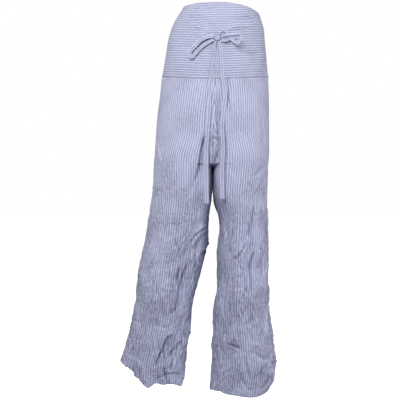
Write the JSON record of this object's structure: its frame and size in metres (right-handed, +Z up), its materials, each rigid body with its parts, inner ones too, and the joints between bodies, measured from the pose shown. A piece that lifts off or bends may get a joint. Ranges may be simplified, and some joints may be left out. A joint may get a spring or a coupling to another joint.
{
  "type": "wrap pants",
  "caption": "Loose wrap pants of crinkled striped cotton in worn, filled-out form, with a deep waistband, wide legs and a narrow tie in a bow.",
  "frame": {"origin": "middle of the waist, level with the tie, where the wearer's waist holds the pants up", "axes": "+Z up along the wearer, the front faces -Y, the wearer's left is +X"},
  "size_m": [0.424, 0.245, 1.0537],
  "materials": {
    "band_cotton": "crinkled cotton with fine pale lavender blue and white stripes that run round the band",
    "leg_cotton": "crinkled cotton with fine pale lavender blue and white stripes that run down the legs",
    "tie_cotton": "the same striped cotton, folded to a narrow strip with the stripes along it"
  },
  "bodies": {
    "root": {"waistband_front": "band_cotton", "waistband_back": "band_cotton", "right_leg_front": "leg_cotton", "right_leg_back": "leg_cotton", "left_leg_front": "leg_cotton", "left_leg_back": "leg_cotton", "tie_round_waist": "tie_cotton", "bow_knot": "tie_cotton", "bow_knot_fold": "tie_cotton", "bow_loop_right": "tie_cotton", "bow_loop_left": "tie_cotton", "tie_end_right": "tie_cotton", "tie_end_left": "tie_cotton"}
  },
  "joints": []
}
